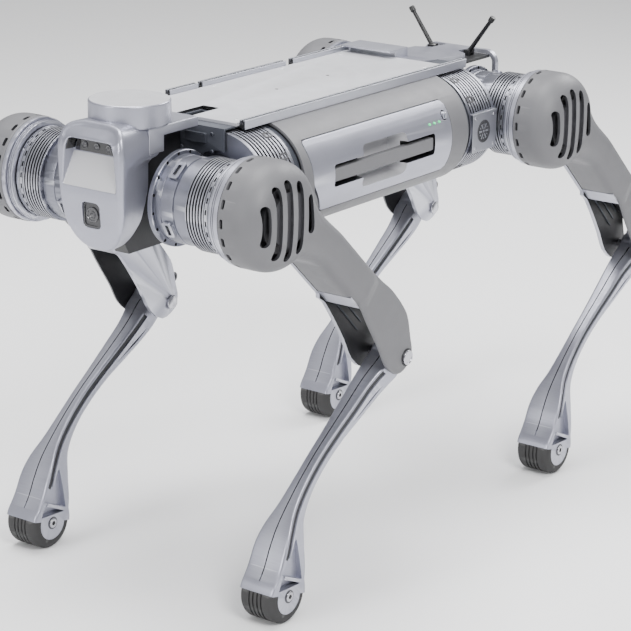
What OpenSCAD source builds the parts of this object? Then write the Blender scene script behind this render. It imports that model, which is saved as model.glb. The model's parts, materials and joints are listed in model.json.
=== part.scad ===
// Four-legged walking robot, standing on its feet.
// X forward, Y to the robot's left, Z up; the origin is on the floor below the middle of the bounding box.

/* [Stance] */
// Height of the hip pitch axes above the floor
hip_z = 523.6; // [500:1:560]
// Half of the distance between the front and rear hip pitch axes
hip_x = 328.5; // [328.5:0.5:340]
// Distance of the body's middle ahead of the origin
body_x = 92; // [60:1:110]
// Lean of each thigh behind the vertical
thigh_lean = 47.25; // [40:0.25:50]
// Lean of each shank ahead of the vertical
shank_lean = 44.41; // [40:0.01:48]

/* [Legs] */
// Hip axis to knee axis
thigh_len = 350; // [350:1:350]
// Knee axis to the foot's centre
shank_len = 350; // [350:1:350]
// Sideways distance of the leg's middle plane from the body's middle
leg_y = 196.5; // [196.5:0.5:200]
// Radius of the round thigh housing
dome_r = 68; // [66:1:69]
// Radius of the rubber sole
foot_r = 36; // [34:1:38]
// Width of the foot
foot_w = 52.4; // [48:0.4:54]
// Distance of the push-rod pins from the knee and hip axes
lever_r = 35; // [35:1:35]
// Direction of the push-rod levers, up from straight ahead
lever_dir = 118; // [116:1:120]

/* [Body] */
// Sideways distance of the abduction axes
abd_y = 72; // [72:0.5:74]
// Half length of the body between the hips
body_half = 262; // [255:1:262]
// Radius of the rounded body sides
body_r = 75; // [74:0.5:76]
// Radius of the abduction motor housings
motor_r = 71.5; // [70:0.5:71.5]
// Height of the top plate's upper face above the hip axes
deck_z = 80.7; // [80:0.1:82]
// Half width of the top plate
deck_y = 83; // [80:1:84]

/* [Hidden] */
$fn = 64;
skin = 4;
silver = "#C4C5D2";
plate_silver = "#D8D8DC";
grey = "#8E8C8A";
dark = "#2B2C31";
rubber = "#4C4B4B";
run = 0.05;          // radial clearance of a running fit
gap = 0.3;           // space between pieces that slide past each other
knee = [-thigh_len * sin(thigh_lean), -thigh_len * cos(thigh_lean)];
foot = knee + shank_len * [sin(shank_lean), -cos(shank_lean)];
lever = lever_r * [cos(lever_dir), sin(lever_dir)];

// planes across the leg, as distances from the body's middle
ring_in = 59;        // inner face of the hip bracket
motor_in = 115;      // hip motor meets the bracket
motor_out = 155;     // outer face of the hip motor
wall_in = 165;       // inner wall of the thigh
wall_out = 171;
rod_in = 173.3;
rod_out = 179.4;
crank_in = 181;
crank_out = 188;
cheek_in = 222;      // outer cheek beside the knee
cheek_out = 226.5;
dome_out = 232;      // outer face of the thigh housing

LEGS = ["fl", "fr", "rl", "rr"];
LEG_NODES = ["hip_bracket", "hip_motor", "thigh_shell", "thigh_cover", "knee_motor",
             "knee_crank", "knee_rod", "shank", "foot_sole", "shank_pins"];
BODY_NODES = ["trunk_frame", "side_shell_left", "side_shell_right", "top_plate", "top_rails",
              "belly_plate", "abduction_motors", "head_shell", "end_brackets", "neck_cover",
              "light_bar", "head_camera", "lidar", "rear_cover", "antenna_left",
              "antenna_right", "battery_pack", "battery_handle", "power_button", "charge_leds"];

// ---------- helpers ----------

// A closed smooth curve through the points p, with k steps for each
function smooth(p, k = 4) = [
    for (i = [0:len(p) - 1])
        let (a = p[(i + len(p) - 1) % len(p)], b = p[i],
             c = p[(i + 1) % len(p)], d = p[(i + 2) % len(p)])
        for (j = [0:k - 1])
            let (t = j / k)
            0.5 * (2 * b + (c - a) * t + (2 * a - 5 * b + 4 * c - d) * t * t
                   + (3 * b - a - 3 * c + d) * t * t * t)];

// The two sides of a strip that follows rows of [distance, middle, half width]
function strip(rows) = concat([for (r = rows) [r[0], r[1] + r[2]]],
                              [for (i = [len(rows) - 1:-1:0]) [rows[i][0], rows[i][1] - rows[i][2]]]);

// Extrudes a side view, drawn as x and z, across the leg
module across(y0, y1) {
    translate([0, y1, 0]) rotate([90, 0, 0]) linear_extrude(y1 - y0) children();
}

// Extrudes a front view, drawn as y and z, along the body
module along(x0, x1) {
    translate([x0, 0, 0]) rotate([90, 0, 90]) linear_extrude(x1 - x0) children();
}

module disc_y(r, y0, y1, at = [0, 0]) {
    across(y0, y1) translate(at) circle(r);
}

module disc_x(r, x0, x1, at = [0, 0]) {
    along(x0, x1) translate(at) circle(r);
}

// Both halves of a left and right pair
module pair() {
    children();
    mirror([0, 1, 0]) children();
}

// In these frames X runs from the joint down the limb; Z is towards the limb's front
module thigh_frame() {
    rotate([0, 90 + thigh_lean, 0]) children();
}

module shank_frame() {
    translate([knee[0], 0, knee[1]]) rotate([0, 90 - shank_lean, 0]) children();
}

// Places a part made for the left front hip at each leg's hip
module at_leg(leg) {
    x = (leg == "fl" || leg == "fr") ? hip_x : -hip_x;
    flip = (leg == "fr" || leg == "rr") ? 1 : 0;
    translate([body_x + x, 0, hip_z]) mirror([0, flip, 0]) children();
}

module at_body() {
    translate([body_x, 0, hip_z]) children();
}

function rear(leg) = leg == "rl" || leg == "rr";

// ---------- hip ----------

// Cup that the abduction motor turns; it holds the hip motor
module hip_bracket(leg) {
    face = hip_x - body_half - 1;
    color(silver) at_leg(leg) mirror([rear(leg) ? 1 : 0, 0, 0]) difference() {
        union() {
            disc_y(54, ring_in + 2, motor_in);
            disc_y(60, ring_in, ring_in + 7);
            disc_x(42, -face, -38, [abd_y, 0]);
        }
        disc_y(40.2, ring_in + 12, motor_in + 1);
        disc_x(20 + run, -face - 1, -54, [abd_y, 0]);
        for (i = [0:15]) rotate([0, 22.5 * i + 8, 0]) translate([57.2, 0, 0]) disc_y(1.6, ring_in - 1, ring_in + 8);
    }
}

// Finned motor, fixed in the bracket; its spigot is the thigh's bearing
module hip_motor(leg) {
    fins = 6;
    pitch = 4.4;
    color(silver) at_leg(leg) {
        disc_y(40, motor_in - 12, motor_in);
        difference() {
            disc_y(58, motor_in, motor_out);
            for (i = [0:fins - 1]) ring_groove(motor_in + 2 + pitch * i, 2, 58, 52);
            for (i = [0:23]) rotate([0, 15 * i, 0]) translate([55, 0, 0]) across(144.5, 147) square([8, 5], center = true);
        }
        disc_y(22, motor_out, wall_in - 0.6);
    }
}

module ring_groove(y, w, r_out, r_in) {
    difference() {
        disc_y(r_out + 1, y, y + w);
        disc_y(r_in, y - 1, y + w + 1);
    }
}

// ---------- thigh ----------

arm_front = 4;       // the arm's front and back edges, from the hip to knee line
arm_back = -48;
arm_end = 214;       // where the straight arm meets the knee part
dome_edge = 34;      // rounding of the housing's outer edge

// Side view of the knee part in the thigh's frame, set in by t all round
module knee_side(t) {
    outline = [[arm_end - 20, arm_front - t], [arm_end, 6 - t], [247, 12 - t], [285, 21 - t],
               [318, 31 - t], [349, 27 - t], [362 - t, 4], [357 - t, -13 + t], [340 - t, -25 + t],
               [316, -41 + t], [295, -46.5 + t], [257, -50 + t], [230, -47 + t],
               [arm_end - 20, arm_back + t]];
    polygon(smooth(outline, 3));
}

module arm_side(t) {
    translate([30, arm_back + t]) square([arm_end - 30, arm_front - arm_back - 2 * t]);
}

// Rounded section of the arm, drawn as height above the inner wall and front position
module arm_section(t) {
    r = 16 - t;
    y1 = dome_out - wall_out - t;
    f0 = arm_back + t;
    f1 = arm_front - t;
    translate([-1, f0]) square([y1 - r + 1, f1 - f0]);
    translate([0, f0 + r]) square([y1, f1 - f0 - 2 * r]);
    for (f = [f0 + r, f1 - r]) translate([y1 - r, f]) circle(r);
}

module arm_solid(t, s0, s1) {
    translate([s0, wall_out, 0]) rotate([90, 0, 90]) linear_extrude(s1 - s0) arm_section(t);
}

module dome_solid(t) {
    r = dome_edge - t;
    h = dome_out - wall_out - t;
    translate([0, wall_out, 0]) rotate([-90, 0, 0]) rotate_extrude() {
        translate([0, -1]) square([dome_r - t, h - r + 1]);
        square([dome_r - t - r, h]);
        intersection() {
            translate([dome_r - t - r, h - r]) circle(r);
            square([dome_r, h]);
        }
    }
}

// Five curved vents over the motor; the middle one is the longest
module dome_vents() {
    lengths = [50, 90, 100, 90, 48];
    bend = 230;
    wide = 10.5;
    for (i = [0:4]) {
        x = 21 * (2 - i) + 4;
        intersection() {
            across(dome_out - 34, dome_out + 1) difference() {
                translate([x + bend, 0]) circle(bend + wide / 2);
                translate([x + bend, 0]) circle(bend - wide / 2);
            }
            translate([x - 12, dome_out - 35, -lengths[i] / 2]) cube([24, 50, lengths[i]]);
        }
    }
}

// Silver inner half of the thigh: wall, rim, bearing hub and the web above the open channel
module thigh_shell(leg) {
    color(silver) at_leg(leg) difference() {
        union() {
            disc_y(dome_r - 1, wall_in, wall_out);
            thigh_frame() {
                across(wall_in, wall_out) arm_side(0);
                across(wall_in, wall_out) knee_side(0);
                across(wall_out, cheek_in) translate([arm_end - 26, 0.4]) square([26, 3.4]);
            }
            disc_y(34, motor_out + 1.5, wall_in + 1);
            difference() {
                disc_y(64, motor_out + 1.5, wall_out);
                disc_y(58, motor_out, wall_in);
            }
        }
        disc_y(22 + run, motor_out, wall_in - 0.2);
        translate([knee[0], 0, knee[1]]) disc_y(6 + run, wall_in - 1, wall_out + 1);
        for (i = [1:3]) ring_groove(motor_out + 1.5 + 2.6 * i, 1, 64, 62.6);
    }
}

// Grey outer half of the thigh, hollow, with the channel for the shank open at the front
module thigh_cover(leg) {
    color(grey) at_leg(leg) difference() {
        union() {
            difference() {
                dome_solid(0);
                across(wall_out - 2, wall_out) square(200, center = true);
            }
            thigh_frame() {
                intersection() {
                    arm_solid(0, 30, arm_end - 10);
                    across(wall_out, dome_out) square(500, center = true);
                }
                across(wall_out, cheek_out) knee_side(0);
            }
        }
        dome_solid(skin);
        thigh_frame() {
            arm_solid(skin - 1, 20, arm_end - 14);
            across(wall_out - 1, cheek_in) {
                translate([20, arm_back + skin]) square([arm_end - 12, arm_front - arm_back - skin - 3]);
                translate([8, 0]) intersection() {
                    knee_side(skin);
                    translate([150, -100]) square(250);
                }
                // the front of the channel and the back beside the lever stay open
                translate([arm_end - 28, -6]) square([200, 60]);
                translate([thigh_len, 0]) circle(49);
            }
        }
        dome_vents();
        translate([knee[0], 0, knee[1]]) disc_y(6 + run, cheek_in - 1, dome_out);
        for (i = [0:17]) rotate([0, 20 * i + 50, 0])
            translate([dome_r, 0, 0]) across(wall_out + 4, wall_out + 9) square([12, 12], center = true);
    }
}

// Motor inside the round housing; its stub carries the crank
module knee_motor(leg) {
    color(dark) at_leg(leg) {
        disc_y(50, 192, dome_out - 20);
        disc_y(43, 192, dome_out - 11);
        disc_y(34, 192, dome_out - skin);
        disc_y(10, crank_in + 1, 192);
    }
}

module knee_crank(leg) {
    color(silver) at_leg(leg) {
        difference() {
            union() {
                disc_y(17, crank_in, crank_out);
                lever_arm(crank_in, crank_out, [0, 0], 8);
            }
            disc_y(10 + run, crank_in - 1, crank_out + 1);
        }
        disc_y(3.5, rod_in - 0.3, crank_in, lever);
    }
}

// A straight arm from a pivot to its lever pin, with a round end
module lever_arm(y0, y1, from, half) {
    across(y0, y1) translate(from) rotate(lever_dir) translate([0, -half]) square([lever_r, 2 * half]);
    disc_y(half, y0, y1, from + lever);
}

// Push rod, parallel to the line from hip to knee
module knee_rod(leg) {
    color(dark) at_leg(leg) difference() {
        union() {
            translate([lever[0], 0, lever[1]]) thigh_frame()
                across(rod_in, rod_out) translate([0, -4]) square([thigh_len, 8]);
            disc_y(7, rod_in, rod_out, lever);
            disc_y(7, rod_in, rod_out, knee + lever);
        }
        disc_y(3.5 + run, rod_in - 1, rod_out + 1, lever);
        disc_y(4, rod_in - 1, rod_out + 1, knee + lever);
    }
}

// ---------- shank ----------

// Side view rows: distance from the knee, middle line, half thickness
SIDE = [[-6, 0, 15], [24, 3, 18], [58, 9, 17.5], [98, 18.5, 15], [140, 29, 12.5], [180, 36.5, 12],
        [220, 40, 12.5], [256, 37.5, 16], [286, 28, 24], [312, 15, 31], [334, 4, 34.5]];
// Front view rows: distance from the knee, middle line, half width
WIDTH = [[-30, 4, 18.5], [22, 4, 18.5], [40, 1.5, 16.5], [62, 0, 14.5], [96, 0, 13], [140, 0, 10.8],
         [180, 0, 10], [220, 0, 11], [256, 0, 14.5], [286, 0, 21.5], [312, 0, 25.6],
         [340, 0, 26.2], [400, 0, 26.2]];
sole_tilt = 14;      // the sole's upper edge rises towards the front
sole_inner = foot_r - 9;

// The part of the foot's side view that the sole fills
module sole_zone() {
    rotate(sole_tilt + 90 - shank_lean) translate([-60, -58]) square([120, 60]);
}

module shank(leg) {
    color(silver) at_leg(leg) difference() {
        union() {
            shank_frame() intersection() {
                across(leg_y - 40, leg_y + 40) union() {
                    polygon(smooth(strip(SIDE), 3));
                    circle(19);
                    difference() {
                        translate([shank_len, 0]) circle(foot_r - 0.6);
                        translate([shank_len, 0]) difference() {
                            sole_zone();
                            circle(sole_inner);
                        }
                    }
                }
                translate([0, leg_y, -100]) linear_extrude(200) polygon(strip(WIDTH));
            }
            translate([knee[0], 0, knee[1]]) lever_arm(crank_in, crank_out, [0, 0], 7.5);
        }
        shank_frame() translate([shank_len, 0, 0]) difference() {
            across(leg_y - 40, leg_y + 40) sole_zone();
            disc_y(sole_inner, leg_y - 41, leg_y + 41);
        }
        translate([knee[0], 0, knee[1]]) {
            disc_y(6, crank_in - 10, cheek_in + 5);
            disc_y(3.5, crank_in - 10, crank_out + 5, lever);
        }
        translate([foot[0], 0, foot[1]]) disc_y(4, leg_y - 40, leg_y + 40);
        foot_pockets();
    }
}

// Tall three-sided pocket and a lower one in each side of the foot
module foot_pockets() {
    shank_frame() for (side = [-1, 1])
        translate([0, leg_y + side * (foot_w / 2 + 4), 0]) across(-10, 10) {
            polygon([[262, 36], [318, 30], [322, -4]]);
            polygon([[326, 26], [336, 20], [336, -12], [328, -10]]);
        }
}

// Rubber tread around the lower half of the foot
module foot_sole(leg) {
    r = 8;
    half = foot_w / 2;
    color(rubber) at_leg(leg) translate([foot[0], leg_y, foot[1]]) difference() {
        intersection() {
            rotate([-90, 0, 0]) rotate_extrude() {
                translate([sole_inner + 0.1, -half + r]) square([foot_r - sole_inner - 0.1, foot_w - 2 * r]);
                translate([sole_inner + 0.1, -half]) square([foot_r - sole_inner - r, foot_w]);
                for (y = [-1, 1]) intersection() {
                    translate([foot_r - r, y * (half - r)]) circle(r);
                    translate([sole_inner + 0.1, -half]) square([foot_r, foot_w]);
                }
            }
            rotate([0, 90 - shank_lean, 0]) across(-half - 1, half + 1) sole_zone();
        }
        for (a = [-124:17:-56]) rotate([0, -a, 0]) translate([foot_r, 0, 0])
            cube([3, foot_w + 2, 2.2], center = true);
    }
}

// Knee pin with its caps, the push rod's pin and the foot's through bolt
module shank_pins(leg) {
    color("#A9AAB4") at_leg(leg) {
        translate([knee[0], 0, knee[1]]) {
            disc_y(6, wall_in - 0.5, cheek_out + 0.5);
            disc_y(10, cheek_out + gap, cheek_out + 3);
            disc_y(10, wall_in - 3, wall_in - gap);
            disc_y(3.5, rod_in - 0.3, crank_out, lever);
        }
        translate([foot[0], 0, foot[1]]) {
            disc_y(4, leg_y - foot_w / 2 - 1, leg_y + foot_w / 2 + 1);
            disc_y(6.5, leg_y + foot_w / 2, leg_y + foot_w / 2 + 2);
            disc_y(6.5, leg_y - foot_w / 2 - 2, leg_y - foot_w / 2);
        }
    }
}

// ---------- body ----------

// Front view of the body, two circles joined by flats
module body_section(r) {
    for (y = [-abd_y, abd_y]) translate([y, 0]) circle(r);
    square([2 * abd_y, 2 * r], center = true);
}

battery_x = [-146, 172];  // ends of the battery's face
battery_z = [-44, 51];
sleeve_in = 198;          // inner ends of the abduction motors

module trunk_frame() {
    color(dark) at_body() {
        difference() {
            union() {
                for (x = [-sleeve_in + 2, sleeve_in - 10]) along(x, x + 8) body_section(body_r - skin - 1);
                along(-sleeve_in + 6, sleeve_in - 6)
                    for (z = [-66, 58]) translate([-66, z]) square([132, 6]);
                along(-sleeve_in + 6, sleeve_in - 6) translate([-108, -60]) square([8, 120]);
            }
            along(-sleeve_in, sleeve_in) square([60, 60], center = true);
        }
        // plates that close the two ends above the motors
        for (side = [0, 1]) mirror([side, 0, 0]) difference() {
            along(sleeve_in - 2, body_half + 4) translate([-80, 74]) square([160, 2.4]);
            along(sleeve_in, body_half + 5) square([20, 300], center = true);
        }
        end_plates();
    }
}

module end_plates() {
    for (side = [0, 1]) mirror([side, 0, 0]) difference() {
        along(body_half + 1, body_half + 4) translate([-80, 40]) square([160, 34]);
        for (y = [-abd_y, abd_y]) disc_x(48, body_half, body_half + 6, [y, 0]);
    }
}

module side_wall() {
    difference() {
        along(-sleeve_in + 11, sleeve_in - 11) difference() {
            translate([abd_y, 0]) circle(body_r);
            translate([abd_y, 0]) circle(body_r - skin);
            translate([-200 + abd_y - 4, -100]) square([200, 200]);
        }
    }
}

// Grey side, open for the battery
module side_shell_left() {
    color(grey) at_body() difference() {
        side_wall();
        battery_window(1);
    }
}

module side_shell_right() {
    color(grey) at_body() mirror([0, 1, 0]) side_wall();
}

// Side view of the battery's face, with a slanted front end, grown by t
module battery_side(t) {
    x0 = battery_x[0] - t;
    x1 = battery_x[1] + t;
    z0 = battery_z[0] - t;
    z1 = battery_z[1] + t;
    polygon([[x0 + 8, z0], [x1 - 34, z0], [x1 - 6, z0 + 34], [x1, z1 - 4], [x1 - 4, z1],
             [x0 + 8, z1], [x0, z1 - 8], [x0, z0 + 8]]);
}

module battery_window(t) {
    across(abd_y, 200) battery_side(t);
}

module battery_pack() {
    bar_x = [-104, 123];
    color(silver) at_body() difference() {
        union() {
            intersection() {
                across(abd_y + 40, body_r + abd_y) battery_side(0);
                along(-200, 200) translate([abd_y, 0]) circle(body_r);
            }
            across(-95, abd_y + 41) translate([battery_x[0] + 3, battery_z[0] + 3])
                square([battery_x[1] - battery_x[0] - 42, battery_z[1] - battery_z[0] - 6]);
        }
        // slot around the handle bar and the two finger recesses
        across(134, 160) translate([bar_x[0] - 1, -14.5]) square([bar_x[1] - bar_x[0] + 2, 29]);
        across(116, 160) translate([-42, -29]) square([102, 58]);
        // well of the power button
        disc_y(5 + run, 130, 160, [-135, 33]);
        for (i = [0:2]) disc_y(1.6, 138, 160, [-97 - 11.5 * i, 27]);
    }
}

module battery_handle() {
    color(grey) at_body() across(134, 145) translate([-104, -8.5]) square([227, 17.5]);
}

module power_button() {
    color(silver) at_body() disc_y(5, 131.8, 143.4, [-135, 33]);
}

module charge_leds() {
    color("#54E08A") at_body() for (i = [0:2]) disc_y(1.5, 138, 143.8, [-97 - 11.5 * i, 27]);
}

// Load plate with a cable slot at the front and two tapped holes on its middle line
module top_plate() {
    thick = 4;
    color(plate_silver) at_body() translate([0, 0, deck_z - thick]) difference() {
        translate([-222, -deck_y, 0]) cube([468, 2 * deck_y, thick]);
        translate([190, -13, -1]) cube([60, 26, thick + 2]);
        for (x = [-61, 53]) translate([x, 0, -1]) cylinder(r = 2.1, h = thick + 2);
    }
}

// Slotted rails beside the load plate: one long one on the left, three short ones on the right
module top_rails() {
    color(silver) at_body() {
        rail(-262, 240, 1);
        for (span = [[-258, -96], [-80, 103], [112, 170]]) rail(span[0], span[1], -1);
    }
}

module rail(x0, x1, side) {
    mirror([0, side < 0 ? 1 : 0, 0]) along(x0, x1) difference() {
        translate([deck_y + 0.4, 68]) square([9, side < 0 ? 19 : 16]);
        translate([abd_y, 0]) circle(body_r + gap);
        translate([deck_y + 3.2, side < 0 ? 81 : 79]) square([2.4, 8]);
    }
}

module belly_plate() {
    color(grey) at_body() translate([-sleeve_in + 12, -abd_y + 5, -body_r])
        cube([2 * (sleeve_in - 12), 2 * (abd_y - 5), 5]);
}

// Four finned motor housings, with a flat connector pad on the outer side of each
module abduction_motors() {
    fins = 9;
    pitch = 6.2;
    groove = 3.2;
    color(silver) at_body() for (sx = [0, 1], sy = [0, 1]) mirror([sx, 0, 0]) mirror([0, sy, 0]) {
        difference() {
            disc_x(motor_r, sleeve_in, body_half, [abd_y, 0]);
            for (i = [0:fins - 1]) difference() {
                disc_x(motor_r + 1, sleeve_in + 5 + pitch * i, sleeve_in + 5 + pitch * i + groove, [abd_y, 0]);
                disc_x(motor_r - 6, sleeve_in, body_half, [abd_y, 0]);
            }
        }
        along(sleeve_in + 3, body_half - 1) translate([abd_y + 50, -32]) square([23, 54]);
        disc_x(20, body_half, body_half + 12, [abd_y, 0]);
    }
}

// ---------- head and tail ----------

head_front = 425.6;
head_split = 57;          // below this height the head narrows to let the hips swing
tail_x = -396;
lidar_x = 349;
lidar_z = 89.3;
antenna_hinge = [-365, 31, 71];

// Half of the head's front outline, from the middle of the chin to the middle of the top
HEAD = [[0, -59], [16, -58], [30, -50], [41, -34], [48, -8], [51, 30], [52, 62], [49, 82], [41, 94],
        [24, 98.5], [0, 99]];
// Half widths of the head from the back to the front, below and above the split
HEAD_LOW = [[346, 27], [372, 36], [400, 48], [418, 52], [430, 52]];
HEAD_HIGH = [[366.4, 45.5], [400, 50], [418, 52], [430, 52]];

function head_outline(t) = concat([for (p = HEAD) [p[0] * (1 - t / 50), p[1] + t * (20 - p[1]) / 78]],
                                  [for (i = [len(HEAD) - 2:-1:1])
                                      [-HEAD[i][0] * (1 - t / 50), HEAD[i][1] + t * (20 - HEAD[i][1]) / 78]]);

module head_side(t) {
    back = HEAD_LOW[0][0] - t;
    polygon([[back, 10], [back, 99], [415, 99], [head_front - 1 - t, 90], [head_front - t, 74],
             [head_front - t, 20], [421 - t, -30], [414 - t, -60], [392, -60], [362 - t, -28]]);
}

// The head's outer form, or with t the space inside its walls
module head_form(t) {
    intersection() {
        along(340, head_front) polygon(head_outline(t));
        across(-60, 60) head_side(t);
        union() {
            translate([-t, 0, -70]) linear_extrude(head_split + t + 70)
                polygon(strip([for (row = HEAD_LOW) [row[0], 0, row[1] - t]]));
            translate([-t, 0, head_split + t]) linear_extrude(50)
                polygon(strip([for (row = HEAD_HIGH) [row[0], 0, row[1] - t]]));
        }
    }
}

module head_shell() {
    wall = 3.5;
    color(silver) at_body() difference() {
        head_form(0);
        intersection() {
            head_form(wall);
            along(300, 405) square(400, center = true);
        }
        // sloping recess with the light bar at its top
        intersection() {
            along(400, 440) polygon([[-33, 78], [33, 78], [37, 70], [42, 20], [-42, 20], [-37, 70]]);
            across(-60, 60) polygon([[head_front + 5, 19], [head_front + 5, 79], [408, 79], [408, 60]]);
        }
        along(400, 430) translate([-14, -29]) square([28, 32]);
        translate([lidar_x, 0, lidar_z]) cylinder(r = 51, h = 40);
    }
}

// Dark lamp strip with three lamps behind its glass
module light_bar() {
    color("#1D1E22") at_body() along(408, 410.5) translate([-31, 61.5]) square([62, 15.5]);
}

module head_camera() {
    color("#3A3B40") at_body() {
        along(400, 420.5) translate([-13.6, -28.6]) square([27.2, 31.2]);
        disc_x(8, 420.5, 422.5, [0, -13]);
    }
}

// Black spines between the hips: the front one carries the head; the rear one carries the tail
module end_brackets() {
    half = 11;
    base = 62;
    color(dark) at_body() {
        across(-half, half) polygon([[body_half + 4.2, -58], [300, -72], [366, -72], [378, -50],
                                     [398, -20], [398, 56], [360, 60], [360, 70], [body_half + 4.2, 70]]);
        difference() {
            union() {
                across(-half, half) polygon([[-body_half - 4.2, -58], [-384, -40], [-384, base + 1],
                                             [-body_half - 4.2, base + 1]]);
                translate([-388, -52, base]) cube([68, 104, 4]);
                pair() for (x = [-8, 4.3]) translate(antenna_hinge + [x, -4, -5.5]) cube([3.7, 8, 9]);
            }
            pair() translate(antenna_hinge) disc_x(1.5 + run, -10, 10);
        }
    }
}

// Top of the neck, with short skirts beside the head
module neck_cover() {
    color(silver) at_body() {
        translate([272, -45, 76.8]) cube([94, 90, 12.2]);
        pair() translate([338, 41, head_split]) cube([28, 4, 20]);
    }
}

module lidar() {
    color(plate_silver) at_body() translate([lidar_x, 0, lidar_z]) cylinder(r = 50.6, h = 29.2);
}

// Silver tail: a sloping top that narrows between the antennas, a hoop behind it,
// and a raised bridge that reaches over the deck's rear end
module rear_cover() {
    top = 72;
    hoop_w = 62;
    hoop_r = 18;
    bridge_y = [-80, -1];
    color(silver) at_body() {
        intersection() {
            translate([0, 0, 50]) linear_extrude(40)
                polygon(strip([[tail_x + 1, 0, 22], [-350, 0, 22], [-336, 0, 43], [-222.4, 0, 43]]));
            across(-60, 60) polygon([[-222.4, 80.7], [-262, 77], [tail_x, top], [tail_x, 66.2], [-266.5, 66.2],
                                     [-266.5, 76.6], [-222.4, 76.6]]);
        }
        along(tail_x, -388.5) difference() {
            hoop_outline(hoop_w, hoop_r, top);
            hoop_outline(hoop_w - 6, hoop_r - 6, top - 6);
            translate([-100, -61]) square([200, 97]);
        }
        along(-250, -206) translate([bridge_y[0], 89]) square([bridge_y[1] - bridge_y[0] + 3, 2.5]);
        along(-250, -222.6) for (y = bridge_y) translate([y, 76.6]) square([3, 12.5]);
    }
}

// Front view of the hoop's outside, round at the top corners
module hoop_outline(half, r, top) {
    translate([-half, -60]) square([2 * half, top + 60 - r]);
    translate([-half + r, -60]) square([2 * (half - r), top + 60]);
    for (y = [-half + r, half - r]) translate([y, top - r]) circle(r);
}

// Rod antenna on a tilting foot with its hinge pin
module antenna(side) {
    lean = 36;
    color("#1E1E21") at_body() mirror([0, side, 0]) translate(antenna_hinge) {
        rotate([-lean, 0, 0]) {
            cylinder(r = 3.2, h = 58);
            translate([0, 0, 58]) cylinder(r = 4.4, h = 9);
        }
        disc_x(4, -4, 4);
        disc_x(1.5, -8, 8);
    }
}

// ---------- all nodes ----------

trunk_frame();
side_shell_left();
side_shell_right();
top_plate();
top_rails();
belly_plate();
abduction_motors();
head_shell();
end_brackets();
neck_cover();
light_bar();
head_camera();
lidar();
rear_cover();
antenna(0);  // antenna_left
antenna(1);  // antenna_right
battery_pack();
battery_handle();
power_button();
charge_leds();
for (leg = LEGS) {
    hip_bracket(leg);
    hip_motor(leg);
    thigh_shell(leg);
    thigh_cover(leg);
    knee_motor(leg);
    knee_crank(leg);
    knee_rod(leg);
    shank(leg);
    foot_sole(leg);
    shank_pins(leg);
}
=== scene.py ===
"""Looks of the four-legged robot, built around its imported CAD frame.

Lengths inside the shape functions are millimetres. On the body they are counted from the trunk's
middle at the height of the hip axes; on a leg they are counted from the left front hip.
"""
import json
import math
import bmesh
import bpy
from mathutils import Matrix, Vector


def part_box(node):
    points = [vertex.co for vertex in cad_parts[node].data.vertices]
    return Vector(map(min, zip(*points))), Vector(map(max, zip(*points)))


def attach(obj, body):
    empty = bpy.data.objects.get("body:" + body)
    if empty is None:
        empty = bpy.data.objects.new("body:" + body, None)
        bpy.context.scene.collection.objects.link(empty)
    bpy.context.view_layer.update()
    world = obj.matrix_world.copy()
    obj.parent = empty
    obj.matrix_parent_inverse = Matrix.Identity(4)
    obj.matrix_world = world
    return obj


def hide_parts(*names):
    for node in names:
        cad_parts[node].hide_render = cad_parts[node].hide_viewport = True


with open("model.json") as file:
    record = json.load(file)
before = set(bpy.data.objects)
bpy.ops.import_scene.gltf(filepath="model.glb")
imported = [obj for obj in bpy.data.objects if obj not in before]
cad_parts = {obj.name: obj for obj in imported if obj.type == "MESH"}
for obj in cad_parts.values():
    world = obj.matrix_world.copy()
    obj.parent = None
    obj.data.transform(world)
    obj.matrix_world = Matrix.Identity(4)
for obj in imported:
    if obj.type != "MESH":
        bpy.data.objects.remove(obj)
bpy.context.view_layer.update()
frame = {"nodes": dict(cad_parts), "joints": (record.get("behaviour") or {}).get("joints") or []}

MM = 0.001
JOINTS = {j["name"]: j for j in frame["joints"]}
HIP_FRONT = Vector(JOINTS["fl_hip_pitch"]["pos_m"])
HIP_REAR = Vector(JOINTS["rl_hip_pitch"]["pos_m"])
KNEE = Vector(JOINTS["fl_knee"]["pos_m"]) - HIP_FRONT
MIDDLE = Vector(((HIP_FRONT.x + HIP_REAR.x) / 2, 0, HIP_FRONT.z))
HIP_X = (HIP_FRONT.x - HIP_REAR.x) / 2 / MM
ABD_Y = JOINTS["fl_abduction"]["pos_m"][1] / MM
LEG_Y = JOINTS["fl_knee"]["pos_m"][1] / MM
THIGH = math.hypot(KNEE.x, KNEE.z) / MM
THIGH_LEAN = math.atan2(-KNEE.x, -KNEE.z)
FOOT_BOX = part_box("fl_foot_sole")
LEGS = ("fl", "fr", "rl", "rr")


# ---------- materials ----------

def node(tree, kind, **values):
    made = tree.nodes.new("ShaderNode" + kind)
    for key, value in values.items():
        if key in ("operation", "blend_type", "data_type", "noise_dimensions", "wave_type",
                   "bands_direction", "feature"):
            setattr(made, key, value)
        else:
            made.inputs[key.replace("_", " ")].default_value = value
    return made


def ramp(tree, source, low, high, a, b):
    made = tree.nodes.new("ShaderNodeMapRange")
    tree.links.new(source, made.inputs["Value"])
    for key, value in (("From Min", low), ("From Max", high), ("To Min", a), ("To Max", b)):
        made.inputs[key].default_value = value
    return made.outputs["Result"]


def mix_colour(tree, factor, a, b):
    made = tree.nodes.new("ShaderNodeMix")
    made.data_type = "RGBA"
    tree.links.new(factor, made.inputs["Factor"])
    for socket, value in ((made.inputs[6], a), (made.inputs[7], b)):
        if isinstance(value, bpy.types.NodeSocket):
            tree.links.new(value, socket)
        else:
            socket.default_value = (*value, 1)
    return made.outputs[2]


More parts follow.
